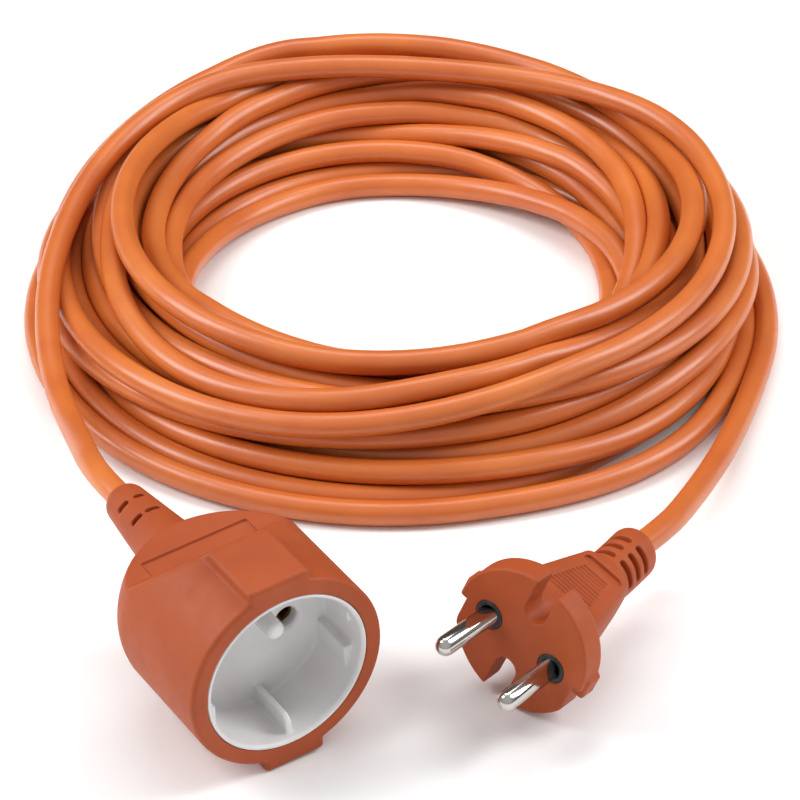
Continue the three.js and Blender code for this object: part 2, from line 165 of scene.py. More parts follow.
def pushed_apart(radius, height, per_turn, widest):
    """One step of moving turns that overlap a diameter apart, the later one over the earlier."""
    count = len(radius)
    spacing = CORD_DIAMETER * 1.01
    climb = 0.15                     # millimetres, so that no push is quite level

    move_out, move_up, contacts = np.zeros(count), np.zeros(count), np.zeros(count)
    for later in range(per_turn, count, per_turn):
        out = radius[later:] - radius[:-later]
        up = height[later:] - height[:-later]
        squared = out * out + up * up
        if squared.min() > spacing * spacing:
            continue
        # the direction is that of the whole contact, so one turn passes over another in a long hump
        out_way = nearby_mean(out)
        up_way = nearby_mean(np.maximum(up, 0)) + climb
        size = np.hypot(out_way, up_way)
        out_way, up_way = out_way / size, up_way / size
        dot = out * out_way + up * up_way
        needed = np.sqrt(np.maximum(dot * dot + spacing * spacing - squared, 0)) - dot
        needed = np.where(squared < spacing * spacing, np.minimum(needed, spacing), 0)
        touching = needed > 0
        move_out[later:] += 0.5 * needed * out_way
        move_out[:-later] -= 0.5 * needed * out_way
        move_up[later:] += 0.6 * needed * up_way
        move_up[:-later] -= 0.4 * needed * up_way
        contacts[later:] += touching
        contacts[:-later] += touching
    share = 1 / np.sqrt(np.maximum(contacts, 1))
    radius = np.clip(radius + move_out * share, COIL_INNER + CORD_DIAMETER / 2, widest)
    height = np.maximum(height + move_up * share, CORD_DIAMETER / 2)
    return radius, height


def straightened(line, amount):
    """Takes out bends that are too short for the cord's stiffness, and keeps both ends."""
    count, span = len(line), 4096
    shortest = 20                    # points
    margin = (span - count) // 2
    kept = 1 / (1 + (np.fft.rfftfreq(span) * shortest) ** 4)
    base = np.linspace(line[0], line[-1], count)
    rest = line - base
    before, after = -rest[1:margin + 1][::-1], -rest[-(span - count - margin) - 1:-1][::-1]
    smooth = np.fft.irfft(np.fft.rfft(np.concatenate([before, rest, after])) * kept, span)
    return line + (smooth[margin:margin + count] - rest) * amount


def lay_coil():
    """The coil's centreline: each turn falls onto those laid before it and lies beside or over them."""
    count = int(round((COIL_END - COIL_START) / COIL_STEP)) + 1
    angle = np.linspace(COIL_START, COIL_END, count)
    per_turn = int(360 / COIL_STEP)
    lap = np.arange(count) / per_turn
    late = np.clip(1 - (COIL_END - angle) / LATE_PART, 0, 1)
    wish = wished_radius(angle, lap, late)
    widest = np.maximum(COIL_OUTER - CORD_DIAMETER / 2, wish)

    radius = wish.copy()
    start = CORD_DIAMETER / 2 + lap * LAP_RISE
    height = start.copy()
    ceiling = END_HEIGHT + (start - END_HEIGHT) * (1 - eased(late)) ** 2 + (1 - late) * 25
    for steps, drop, pull, stiffness, pushes in LAYING:
        for _ in range(steps):
            height = height - drop
            if pull:
                height = np.where(late > 0, np.minimum(height, ceiling), height)
                radius = radius + pull * (wish - radius)
            radius = wish + straightened(radius - wish, stiffness)
            height = straightened(height, stiffness)
            for _ in range(pushes):
                radius, height = pushed_apart(radius, height, per_turn, widest)
            radius[0], height[0] = START_RADIUS, START_HEIGHT
            radius[-1], height[-1] = END_RADIUS, END_HEIGHT
    loose = np.clip(1 - np.abs(angle - LOOSE_AT) / LOOSE_REACH, 0, 1)
    radius = radius + LOOSE_GAP * np.sin(np.pi / 2 * loose) ** 2
    theta = np.radians(angle)
    return np.stack([COIL_CENTRE[0] + radius * np.cos(theta),
                     COIL_CENTRE[1] + radius * np.sin(theta), height], 1)


def smooth_route(corners, step):
    """A smooth line through the corners, with a point about every step millimetres."""
    corners = np.asarray(corners, float)
    gaps = np.linalg.norm(np.diff(corners, axis=0), axis=1)
    pace = np.sqrt(gaps)[:, None]
    slopes = np.diff(corners, axis=0) / pace
    tangents = np.empty_like(corners)
    tangents[1:-1] = (slopes[:-1] * pace[1:] + slopes[1:] * pace[:-1]) / (pace[1:] + pace[:-1])
    tangents[0], tangents[-1] = slopes[0], slopes[-1]
    points = []
    for i, gap in enumerate(gaps):
        t = np.linspace(0, 1, max(1, int(round(gap / step))), endpoint=False)[:, None]
        points.append((2 * t ** 3 - 3 * t ** 2 + 1) * corners[i]
                      + (t ** 3 - 2 * t ** 2 + t) * pace[i] * tangents[i]
                      + (3 * t ** 2 - 2 * t ** 3) * corners[i + 1]
                      + (t ** 3 - t ** 2) * pace[i] * tangents[i + 1])
    points.append(corners[-1:])
    return np.concatenate(points)


def eased_ends(line):
    """Takes out the short bends near either end, where the leads meet the coil."""
    gone = np.concatenate([[0], np.cumsum(np.linalg.norm(np.diff(line, axis=0), axis=1))])
    from_end = np.minimum(gone, gone[-1] - gone)
    straight, reach = 30, 330        # nothing changes nearer the end or further away, in millimetres
    share = eased((from_end - straight) / 20) * eased((reach - from_end) / 60)
    for _ in range(24):
        middle = (line[:-2] + line[2:]) / 2
        line[1:-1] += 0.5 * share[1:-1, None] * (middle - line[1:-1])
    return line


# ---------------------------------------------------------------- meshes

def mesh_piece(name, points, faces, material):
    """A smooth-shaded object, from points in millimetres."""
    mesh = bpy.data.meshes.new(name)
    mesh.from_pydata((np.asarray(points) * MM).tolist(), [], [list(map(int, f)) for f in faces])
    mesh.polygons.foreach_set("use_smooth", [True] * len(mesh.polygons))
    mesh.update()
    piece = bpy.data.objects.new(name, mesh)
    bpy.context.scene.collection.objects.link(piece)
    mesh.materials.append(material)
    return piece


def placed(points, place):
    """Points moved from a sub-part's own axes to where it lies."""
    return points @ np.array(place.to_3x3()).T + np.array(place.translation)


def tube(name, line, radius, sides, material):
    """A closed round tube along a line that never stands upright."""
    heading = np.gradient(line, axis=0)
    heading /= np.linalg.norm(heading, axis=1)[:, None]
    side = np.cross(heading, (0, 0, 1))
    side /= np.linalg.norm(side, axis=1)[:, None]
    up = np.cross(side, heading)
    turn = np.linspace(0, 2 * np.pi, sides, endpoint=False)
    ring = side[:, None] * np.cos(turn)[None, :, None] + up[:, None] * np.sin(turn)[None, :, None]
    points = (line[:, None] + ring * radius).reshape(-1, 3)
    first = (np.arange(len(line) - 1) * sides)[:, None]
    here = first + np.arange(sides)
    beside = first + (np.arange(sides) + 1) % sides
    faces = np.stack([here, here + sides, beside + sides, beside], -1).reshape(-1, 4).tolist()
    last = (len(line) - 1) * sides
    faces += [list(range(sides)), [last + i for i in reversed(range(sides))]]
    return mesh_piece(name, points, faces, material)


# ---------------------------------------------------------------- solids as distance fields

# A field gives how far points lie outside a solid, in millimetres, and is negative inside it.

COUPLER_MESH = 0.34                  # grid step
PLUG_MESH = 0.26
CARRIER_MESH = 0.25
DEGREE = 0.0175                      # in radians, near enough for a slot
CORD_HOLE = 3.4                      # radius of the hole for the cord
SEAT_GAP = 0.3                       # round what is moulded in


def joined(a, b, fillet):
    """Both solids, with a fillet where they meet."""
    near = np.maximum(fillet - np.abs(a - b), 0) / fillet
    return np.minimum(a, b) - near * near * fillet / 4


def common(a, b, fillet):
    """What two solids share, with its edges rounded."""
    return -joined(-a, -b, fillet)


def without(a, tool, fillet):
    """The first solid with the tool's space cut out of it."""
    return common(a, -tool, fillet)


def between(value, low, high):
    """A slab between two places on an axis."""
    return np.maximum(low - value, value - high)


def bar(x, z, half_width, half_height):
    """A square-edged bar along y, without ends."""
    return np.maximum(np.abs(x) - half_width, np.abs(z) - half_height)


def surface_net(field, low, high, step):
    """Points and four-sided faces of the surface where the field is zero, inside a box."""
    axes = [np.arange(a, b + step, step, dtype=np.float32) for a, b in zip(low, high)]
    values = field(axes[0][:, None, None], axes[1][None, :, None], axes[2][None, None, :])
    values = np.ascontiguousarray(np.broadcast_to(values, [len(axis) for axis in axes]))
    inside = values < 0
    nx, ny, nz = (n - 1 for n in values.shape)
    corners = [(a, b, c) for a in (0, 1) for b in (0, 1) for c in (0, 1)]
    filled = sum(inside[a:a + nx, b:b + ny, c:c + nz].astype(np.int8) for a, b, c in corners)
    crossed = (filled > 0) & (filled < 8)
    cells = np.argwhere(crossed)
    number = np.full(crossed.shape, -1, np.int64)
    number[crossed] = np.arange(len(cells))
    at_corner = {corner: values[tuple((cells + corner).T)].astype(float) for corner in corners}
    total, hits = np.zeros((len(cells), 3)), np.zeros(len(cells))
    for corner in corners:
        for axis in range(3):
            if corner[axis]:
                continue
            other = tuple(1 if i == axis else c for i, c in enumerate(corner))
            start, end = at_corner[corner], at_corner[other]
            cuts = (start < 0) != (end < 0)
            point = np.tile(np.array(corner, float), (cuts.sum(), 1))
            point[:, axis] += start[cuts] / (start[cuts] - end[cuts])
            total[cuts] += point
            hits += cuts
    points = (cells + total / hits[:, None]) * step + np.array(low)
    faces = []
    for axis in range(3):
        u, v = (axis + 1) % 3, (axis + 2) % 3
        here, ahead = [slice(1, -1)] * 3, [slice(1, -1)] * 3
        here[axis], ahead[axis] = slice(0, -1), slice(1, None)
        outward = inside[tuple(here)] & ~inside[tuple(ahead)]
        inward = ~inside[tuple(here)] & inside[tuple(ahead)]
        for change, order in ((outward, (0, 1, 2, 3)), (inward, (3, 2, 1, 0))):
            place = np.argwhere(change) + 1
            place[:, axis] -= 1
            ring = []
            for du, dv in ((1, 1), (0, 1), (0, 0), (1, 0)):
                cell = place.copy()
                cell[:, u] -= du
                cell[:, v] -= dv
                ring.append(number[tuple(cell.T)])
            faces.append(np.stack([ring[i] for i in order], 1))
    return drawn_onto(field, points, step), np.concatenate(faces)


def drawn_onto(field, points, step):
    """Points moved the last bit of the way onto the surface."""
    reach = 0.05
    for _ in range(3):
        value = field(*points.T)
        slope = np.stack([(field(*(points + reach * e).T) - field(*(points - reach * e).T)) / (2 * reach)
                          for e in np.eye(3)], 1)
        move = slope * (value / np.maximum((slope ** 2).sum(1), 0.2))[:, None]
        points = points - np.clip(move, -0.4 * step, 0.4 * step)
    return points


def solid_piece(name, field, low, high, step, place, material, node):
    """A piece meshed from its field, put in place, standing for the CAD node."""
    points, faces = surface_net(field, low, high, step)
    piece = mesh_piece(name, placed(points, place), faces, material)
    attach(piece, "root")
    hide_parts(node)
    return piece


def slot_round(angle, half_turn, radius, y, half_width):
    """A slot with round ends, part of the way round. The angle is from its middle, in degrees."""
    past_end = np.maximum(np.abs(angle) - half_turn, 0) * DEGREE * radius
    return np.hypot(past_end, y) - half_width


# ---------------------------------------------------------------- the coupler

# y runs from the mouth to the end of the neck, z is up and x across.
COUPLER_PLACE = Matrix.Translation((0, -38.5, 26.75)) @ Matrix.Rotation(np.radians(-3.4), 4, "Y")
COUPLER_RADIUS = 24.6
COUPLER_LENGTH = 77
DRUM_LENGTH = 31
SHOULDER_LENGTH = 19.9
NECK_ROOT = 36                       # inside the shoulder
NECK_START = 48.5
NECK_RADIUS = 8.0                    # where it starts
NECK_TAPER = 0.11                    # millimetres of radius for each of length
NECK_SLOT_DEPTH = 1.6
NECK_SLOTS = [                       # place along the coupler, middle and half the turn in degrees
    (61.5, -35.5, 10), (61.5, 7, 12), (68.5, -39.5, 11.5), (68.5, 10, 8),
]
PAD_HALF_WIDTH = 7.7
PAD_HEIGHT = 26.3                    # from the coupler's axis
PAD_LENGTH = 24
SLOPE_START = 18                     # from here the pad slopes down to the flat
SLOPE_FACING = (0.683, 0.731)        # along the coupler and up
FLAT_HEIGHT = 12
LABEL_ACROSS = (-14.3, 13.4)
LABEL_ALONG = (33.9, 39.4)
LABEL_FLOOR = 11.3

INSERT_RADIUS = 20.5
INSERT_LENGTH = 18.4
BLOCK_HALF_WIDTH = 14.5              # of the contact block behind the cup
BLOCK_HALF_HEIGHT = 8.5
BLOCK_START = 18
BLOCK_END = 30
RECESS_RADIUS = 19.4
RECESS_DEPTH = 16
PIN_HOLE_RADIUS = 2.75
CONTACT_ROOM_RADIUS = 3.6
FLOOR_JOIN = 16.5                    # what stands on the recess's floor starts inside it


def coupler_outside(x, y, z):
    """Drum with a round shoulder and a tapered neck, a pad above and below, and a flat behind each."""
    radius = np.hypot(x, z)
    height = np.abs(z)
    power = 1.75                     # 2 would make the shoulder an ellipse
    beyond = np.maximum(y - DRUM_LENGTH, 0) / SHOULDER_LENGTH
    reach = (beyond ** power + (radius / COUPLER_RADIUS) ** power) ** (1 / power)
    body = (reach - 1) * COUPLER_RADIUS
    neck_radius = NECK_RADIUS - NECK_TAPER * (y - NECK_START)
    neck = common(radius - neck_radius, y - COUPLER_LENGTH, 3.5)
    body = joined(body, np.maximum(neck, NECK_ROOT - y), 5)
    pad = common(np.abs(x) - PAD_HALF_WIDTH, height - PAD_HEIGHT, 1.0)
    body = joined(body, common(pad, y - PAD_LENGTH, 1.0), 0.7)
    body = common(body, -y, 1.3)
    slope = (y - SLOPE_START) * SLOPE_FACING[0] + (height - PAD_HEIGHT) * SLOPE_FACING[1]
    body = common(body, joined(slope, height - FLAT_HEIGHT, 0.8), 0.7)
    label = common(between(x, *LABEL_ACROSS), between(y, *LABEL_ALONG), 0.5)
    body = without(body, np.maximum(label, LABEL_FLOOR - z), 0.3)
    angle = np.degrees(np.arctan2(x, height))
    for place, middle, half_turn in NECK_SLOTS:
        slot = slot_round(angle - middle, half_turn, radius, y - place, 0.7)
        body = without(body, np.maximum(slot, neck_radius - NECK_SLOT_DEPTH - radius), 0.35)
    return body


def coupler_shell(x, y, z):
    """The moulding round its insert, contact block, wires and cord."""
    radius = np.hypot(x, z)
    insert_seat = np.maximum(radius - INSERT_RADIUS - 0.1, y - INSERT_LENGTH - 0.4)
    block_seat = bar(x, z, BLOCK_HALF_WIDTH + SEAT_GAP, BLOCK_HALF_HEIGHT + SEAT_GAP)
    block_seat = np.maximum(block_seat, between(y, BLOCK_START, 32.8))
    room_half_width = np.interp(y, (38, 52), (12.5, 3.6))
    wire_room = np.maximum(bar(x, z, room_half_width, 2.4), between(y, 32, 66))
    cord_hole = np.maximum(radius - CORD_HOLE, 65.5 - y)
    hollow = np.minimum(np.minimum(insert_seat, block_seat), np.minimum(wire_room, cord_hole))
    return without(coupler_outside(x, y, z), hollow, 0.25)


def socket_insert(x, y, z):
    """The white cup: guides at both sides, a fin below, a peg above and two pin holes in its floor."""
    radius = np.hypot(x, z)
    cup = common(radius - INSERT_RADIUS, between(y, -0.1, INSERT_LENGTH), 0.5)
    chamfer = np.maximum(0.7 - y, 0) * 0.6
    recess = common(radius - RECESS_RADIUS - chamfer, y - RECESS_DEPTH, 0.8)
    body = without(cup, recess, 0.4)

    upper_guide = common(18.2 - np.abs(x), 3 - z, 0.3)
    lower_guide = common(16.8 - np.abs(x), z + 4, 0.3)
    guide = np.maximum(np.minimum(upper_guide, lower_guide), radius - 19.9)
    body = joined(body, common(guide, between(y, 4, FLOOR_JOIN), 0.3), 0.2)

    fin = common(np.abs(x) - 0.8, between(z, -19.9, -14.6), 0.4)
    fin = common(fin, between(y, 2, FLOOR_JOIN), 0.4)
    nose = (2 - y) * 0.6 + (z + 15.9) * 0.8
    body = joined(body, common(fin, nose, 0.4), 0.6)

    peg = common(np.hypot(x, z - 9.6) - 2.2, between(y, 3.2, FLOOR_JOIN), 1.8)
    body = joined(body, peg, 0.5)

    block = bar(x, z, BLOCK_HALF_WIDTH, BLOCK_HALF_HEIGHT)
    body = np.minimum(body, np.maximum(block, between(y, BLOCK_START, BLOCK_END)))
    from_hole = np.hypot(np.abs(x) - PIN_OFFSET, z)
    flare = np.maximum(16.8 - y, 0)
    hole = np.maximum(from_hole - PIN_HOLE_RADIUS - flare, between(y, 15, 19.5))
    contact_room = np.maximum(from_hole - CONTACT_ROOM_RADIUS, between(y, 19.3, BLOCK_END + 1))
    return without(body, np.minimum(hole, contact_room), 0.2)


# ---------------------------------------------------------------- the plug

# y runs from the face, whose pins point the other way, to the end of the strain relief.
PLUG_PLACE = (Matrix.Translation((54.9, -49.05, 18.9)) @ Matrix.Rotation(np.radians(-70), 4, "Z")
              @ Matrix.Rotation(np.radians(-5.9), 4, "X") @ Matrix.Rotation(np.radians(20.1), 4, "Y"))
DISC_RADIUS = 18.2
DISC_DEPTH = 6.7                     # along y
FLAT_OFFSET = 16.3                   # of the two flats under the ears
EAR_REACH = 18.9
EAR_HALF_HEIGHT = 2.9
GRIP_END = 33
GRIP_LENGTH = 26.3
RIDGE_PITCH = 1.2
RIDGE_DEPTH = 0.5
GROOVE_PLACE = 29.3
GROOVE_HALF_LENGTH = 4.3
GROOVE_HALF_WIDTH = 1.15
BOOT_RADIUS = 6.4
BOOT_END = 50.5
BOOT_SLOTS = (36.3, 40, 43.7)        # places along the plug
BOOT_SLOT_MIDDLE = 43                # degrees from upright, on all four sides
BOOT_SLOT_HALF_TURN = 27
BOOT_SLOT_FLOOR = 4.7                # from the plug's axis
NOTCH_RADIUS = 2.9
PULL_START = 29                      # from here the cord pulls the strain relief aside
PULL = (1.68, 0.19)                  # at its end, towards -x and -z

BRIDGE_HALF_WIDTH = 13.1
BRIDGE_HALF_HEIGHT = 3.9
BRIDGE_START = 2.2
BRIDGE_END = 8.2
COLLAR_RADIUS = 3.6
PIN_RADIUS = 2.4
PIN_LENGTH = 19.0                    # from the face to the tip
SHANK_START = -16.5                  # where the tip ends
SHANK_END = 8.3
BARREL_END = 13.2
BARREL_OFFSET = 8.7                  # from the plug's axis to each crimp barrel's


def grip_height(y):
    """Half the height of the grip, from the disc to its end."""
    return 8.2 - 1.5 * (y - DISC_DEPTH) / GRIP_LENGTH


def plug_outside(x, y, z):
    """A contour disc with ears and flats, a flat tapered grip and a round strain relief."""
    radius = np.hypot(x, z)
    width, height = np.abs(x), np.abs(z)
    share = (y - DISC_DEPTH) / GRIP_LENGTH
    disc = common(radius - DISC_RADIUS, between(y, 0, DISC_DEPTH), 0.8)
    disc = common(disc, np.minimum(width - FLAT_OFFSET, -z), 0.5)
    ear = common(width - EAR_REACH, height - EAR_HALF_HEIGHT, 0.8)
    ear = common(ear, between(y, 1.8, DISC_DEPTH), 0.8)
    disc = joined(disc, ear, 0.5)
    half_width = 13.4 - 6.5 * share
    corner_radius = 14.2 - 5.6 * share
    grip = common((width - half_width) * 0.97, height - grip_height(y), 1.0)
    grip = common(grip, (radius - corner_radius) * 0.98, 1.4)
    grip = common(grip, between(y, 3, GRIP_END), 1.4)
    body = joined(disc, grip, 0.9)
    boot = np.maximum(common(radius - BOOT_RADIUS, y - BOOT_END, 3.2), 28 - y)
    return joined(body, boot, 1.1)


def plug_relief(body, x, y, z):
    """Grip ridges, the groove behind them, the slots of the strain relief and the two rim notches."""
    radius = np.hypot(x, z)
    width, height = np.abs(x), np.abs(z)
    surface = grip_height(y)

    panel_half_width = 6.4 - 2.6 * (y - 14) / 12
    off_panel = np.maximum(width - panel_half_width, between(y, 13.6, 26.4))
    on_panel = np.clip(-off_panel / 0.25, 0, 1) * np.clip((height - surface + 1.2) / 0.4, 0, 1)
    wave = 0.5 + 0.5 * np.cos(2 * np.pi * (y - 14) / RIDGE_PITCH)
    body = body + RIDGE_DEPTH * on_panel * wave

    past_end = np.maximum(width - GROOVE_HALF_LENGTH, 0)
    groove = np.hypot(past_end, y - GROOVE_PLACE) - GROOVE_HALF_WIDTH
    body = without(body, np.maximum(groove, surface - 0.9 - height), 0.4)

    angle = np.degrees(np.arctan2(width, height))
    for place in BOOT_SLOTS:
        slot = slot_round(angle - BOOT_SLOT_MIDDLE, BOOT_SLOT_HALF_TURN, radius, y - place, 0.9)
        body = without(body, np.maximum(slot, BOOT_SLOT_FLOOR - radius), 0.4)

    upper_end = 10.1 + np.maximum(y - 2, 0) * 0.13
    upper = np.hypot(x, np.minimum(z - upper_end, 0)) - NOTCH_RADIUS
    body = without(body, np.maximum(upper, -z), 0.5)
    lower = np.hypot(x, np.maximum(z + 9.7, 0)) - NOTCH_RADIUS
    return without(body, np.maximum(np.maximum(lower, z), y - 10), 0.5)


def plug_body(x, y, z):
    """The moulding round its pin carrier, wires and cord."""
    pulled = (np.maximum(y - PULL_START, 0) / (BOOT_END - PULL_START)) ** 1.5
    x, z = x + PULL[0] * pulled, z + PULL[1] * pulled
    radius = np.hypot(x, z)
    body = plug_relief(plug_outside(x, y, z), x, y, z)
    bridge_seat = bar(x, z, BRIDGE_HALF_WIDTH + SEAT_GAP, BRIDGE_HALF_HEIGHT + SEAT_GAP)
    bridge_seat = np.maximum(bridge_seat, between(y, BRIDGE_START - SEAT_GAP, BRIDGE_END + SEAT_GAP))
    from_pin = np.hypot(np.abs(x) - PIN_OFFSET, z)
    collar_seat = np.maximum(from_pin - COLLAR_RADIUS - 0.05, y - BRIDGE_START)
    room_half_width = np.interp(y, (14.2, 17.5, 26), (10.6, 9.6, 4))
    wire_room = np.maximum(bar(x, z, room_half_width, 2.2), between(y, 8, 40))
    cord_hole = np.maximum(radius - CORD_HOLE, 39 - y)
    hollow = np.minimum(np.minimum(bridge_seat, collar_seat), np.minimum(wire_room, cord_hole))
    return without(body, hollow, 0.2)


def pin_bridge(x, y, z):
    """The black carrier, whose two collars show round the pins."""
    bridge = common(np.abs(x) - BRIDGE_HALF_WIDTH, np.abs(z) - BRIDGE_HALF_HEIGHT, 0.5)
    bridge = common(bridge, between(y, BRIDGE_START, BRIDGE_END), 0.5)
    from_pin = np.hypot(np.abs(x) - PIN_OFFSET, z)
    collar = common(from_pin - COLLAR_RADIUS, between(y, -0.1, 3), 0.4)
    return without(np.minimum(bridge, collar), from_pin - PIN_RADIUS - 0.05, 0.15)


# ---------------------------------------------------------------- materials

class Look:
    """A procedural material on a Principled shader, in the object's own coordinates."""

    def __init__(self, name, **sockets):
        self.material = bpy.data.materials.new(name)
        self.material.use_nodes = True
        self.tree = self.material.node_tree
        self.shader = self.tree.nodes["Principled BSDF"]
        self.place = self.tree.nodes.new("ShaderNodeTexCoord").outputs["Object"]
        for socket, value in sockets.items():
            self.shader.inputs[socket.replace("_", " ")].default_value = value

    def link(self, output, node_input):
        self.tree.links.new(output, node_input)

    def noise(self, size, detail=3.0, roughness=0.5):
        """Noise whose features are about that many millimetres across."""
        noise = self.tree.nodes.new("ShaderNodeTexNoise")
        noise.inputs["Scale"].default_value = 1 / (size * MM)
        noise.inputs["Detail"].default_value = detail
        noise.inputs["Roughness"].default_value = roughness
        self.link(self.place, noise.inputs["Vector"])
        return noise.outputs["Fac"]

    def ramp(self, factor, *stops):
        """Colours or greys at places from 0 to 1."""
        ramp = self.tree.nodes.new("ShaderNodeValToRGB")
        elements = ramp.color_ramp.elements
        while len(elements) < len(stops):
            elements.new(0.5)
        for element, (place, value) in zip(elements, stops):
            element.position = place
            element.color = (*value, 1) if isinstance(value, tuple) else (value, value, value, 1)
        self.link(factor, ramp.inputs["Fac"])
        return ramp.outputs["Color"]

    def colour(self, output):
        self.link(output, self.shader.inputs["Base Color"])

    def roughness(self, output):
        self.link(output, self.shader.inputs["Roughness"])

    def bump(self, output, height, below=None):
        """A bump of that many millimetres, on top of the one below."""
        bump = self.tree.nodes.new("ShaderNodeBump")
        bump.inputs["Distance"].default_value = height * MM
        self.link(output, bump.inputs["Height"])
        if below:
            self.link(below, bump.inputs["Normal"])
        self.link(bump.outputs["Normal"], self.shader.inputs["Normal"])
        return bump.outputs["Normal"]


def linear(red, green, blue):
    """An 8-bit screen colour as linear light."""
    def channel(value):
        value /= 255
        return value / 12.92 if value <= 0.04045 else ((value + 0.055) / 1.055) ** 2.4
    return tuple(channel(value) for value in (red, green, blue))


def orange_sheath():
    """Satin extruded PVC with slow waves in its skin and a few dull rubs."""
    look = Look("orange_sheath", Specular_IOR_Level=0.6, Coat_Weight=0.12, Coat_Roughness=0.3)
    patches = look.noise(30, 3)
    look.colour(look.ramp(patches, (0.3, linear(190, 93, 38)), (0.7, linear(208, 114, 47))))
    rubs = look.noise(6, 4, 0.65)
    look.roughness(look.ramp(rubs, (0.35, 0.32), (0.6, 0.37), (0.75, 0.44)))
    waves = look.bump(look.noise(9, 2), 0.1)
    look.bump(look.noise(0.7, 2), 0.003, waves)
    return look.material


def orange_moulding():
    """Soft matt PVC with a fine moulded grain."""
    look = Look("orange_moulding", Specular_IOR_Level=0.3)
    patches = look.noise(14, 3)
    look.colour(look.ramp(patches, (0.3, linear(158, 69, 30)), (0.7, linear(168, 77, 36))))
    rubs = look.noise(4, 4, 0.65)
    look.roughness(look.ramp(rubs, (0.35, 0.48), (0.6, 0.56), (0.78, 0.66)))
    waves = look.bump(look.noise(7, 2), 0.06)
    look.bump(look.noise(0.35, 2), 0.02, waves)
    return look.material


def white_plastic():
    """Hard white plastic with a faint grain."""
    look = Look("white_plastic", Specular_IOR_Level=0.5)
    patches = look.noise(12, 3)
    look.colour(look.ramp(patches, (0.3, linear(214, 212, 211)), (0.7, linear(224, 222, 222))))
    look.roughness(look.ramp(look.noise(3, 4), (0.35, 0.34), (0.7, 0.46)))
    look.bump(look.noise(0.5, 2), 0.01)
    return look.material


def metal(name, colour, roughness, scratch):
    """Plated or drawn metal with fine rubs."""
    look = Look(name, Metallic=1.0)
    look.colour(look.ramp(look.noise(3, 3), (0.3, tuple(0.92 * c for c in colour)), (0.7, colour)))
    marks = look.noise(0.6, 4, 0.7)
    look.roughness(look.ramp(marks, (0.4, roughness), (0.75, roughness + scratch)))
    look.bump(marks, 0.002)
    return look.material


def tinted_plastic(name, colour, roughness):
    """Plain coloured plastic with a faint moulded grain."""
    look = Look(name, Specular_IOR_Level=0.45)
    look.colour(look.ramp(look.noise(5, 3), (0.3, tuple(0.85 * c for c in colour)), (0.7, colour)))
    look.roughness(look.ramp(look.noise(2, 4), (0.35, roughness), (0.7, roughness + 0.15)))
    look.bump(look.noise(0.3, 2), 0.01)
    return look.material


# ---------------------------------------------------------------- the pieces

def build_cord(material):
    """The cord from the plug, round the coil and to the coupler, with its centreline."""
    coil = lay_coil()
    corners = np.concatenate([PLUG_LEAD[:-1], coil, COUPLER_LEAD[::-1][1:]])
    line = eased_ends(smooth_route(corners, ROUTE_STEP))
    cord = tube("cord", line, CORD_DIAMETER / 2, CORD_SIDES, material)
    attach(cord, "root")
    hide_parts("coupler_lead", "cord_coil", "plug_lead")
    return cord, line


def contact_pin(name, side, material, node):
    """A turned pin: round tip with a fine shoulder, straight shank and a crimp barrel behind."""
    tip_radius = PIN_RADIUS - 0.04
    tip = [(0, -PIN_LENGTH)]
    for angle in np.radians(np.arange(8, 91, 8.2)):
        tip.append((tip_radius * np.sin(angle), -PIN_LENGTH + tip_radius * (1 - np.cos(angle))))
    shank = [(PIN_RADIUS, SHANK_START), (PIN_RADIUS, SHANK_END - 0.1), (2.2, SHANK_END + 0.1)]
    barrel = [(1.5, SHANK_END + 0.1), (1.5, BARREL_END), (1.1, BARREL_END), (1.1, 9), (0, 9)]
    sides = 48
    turn = np.linspace(0, 2 * np.pi, sides, endpoint=False)
    points, rings = [], []
    for radius, y in tip + shank + barrel:
        if radius == 0:
            rings.append([len(points)] * sides)
            points.append((0, y, 0))
        else:
            rings.append(list(range(len(points), len(points) + sides)))
            points += [(radius * np.cos(t), y, radius * np.sin(t)) for t in turn]
    faces = []
    for lower, upper in zip(rings, rings[1:]):
        for i in range(sides):
            j = (i + 1) % sides
            face = [lower[i], upper[i], upper[j], lower[j]]
            faces.append(list(dict.fromkeys(face)))
    offset = [(side * (PIN_OFFSET if y < SHANK_END else BARREL_OFFSET), 0, 0) for _, y, _ in points]
    points = placed(np.array(points) + np.array(offset), PLUG_PLACE)
    pin = mesh_piece(name, points, faces, material)
    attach(pin, "root")
    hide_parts(node)
    return pin


def paint(name, material):
    """Gives a CAD node its looks where no piece replaces it."""
    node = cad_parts[name]
    node.data.materials.clear()
    node.data.materials.append(material)
    return node


